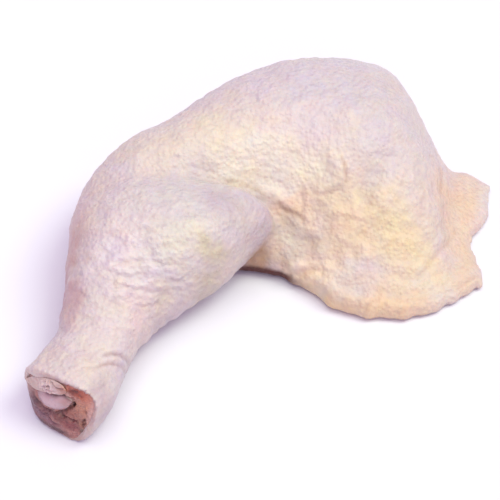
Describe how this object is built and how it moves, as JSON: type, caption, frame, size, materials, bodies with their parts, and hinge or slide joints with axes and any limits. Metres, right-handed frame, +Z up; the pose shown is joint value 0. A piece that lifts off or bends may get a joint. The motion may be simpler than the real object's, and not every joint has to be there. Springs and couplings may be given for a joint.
{
  "type": "raw chicken leg quarter",
  "caption": "Raw chicken drumstick and thigh in one skin-covered piece with a thin flap of skin and an open cut hock showing meat, bone and tendon.",
  "frame": {"origin": "middle of the leg's box, on the surface that the leg lies on", "axes": "+Z up, +X from the drumstick towards the torn flap of skin, +Y from the cut hock towards the back of the thigh"},
  "size_m": [0.171, 0.1636, 0.0459],
  "materials": {
    "skin": "moist pale pinkish raw chicken skin, creamy where fat lies under it",
    "meat": "wet red-brown raw meat and torn membrane at the cut",
    "bone": "wet pale pink gristle on the end of the bone",
    "tendon": "wet pale pink tendon"
  },
  "bodies": {
    "root": {"leg": "skin", "shank_meat": "meat", "shank_bone": "bone", "hock_tendon": "tendon"}
  },
  "joints": []
}
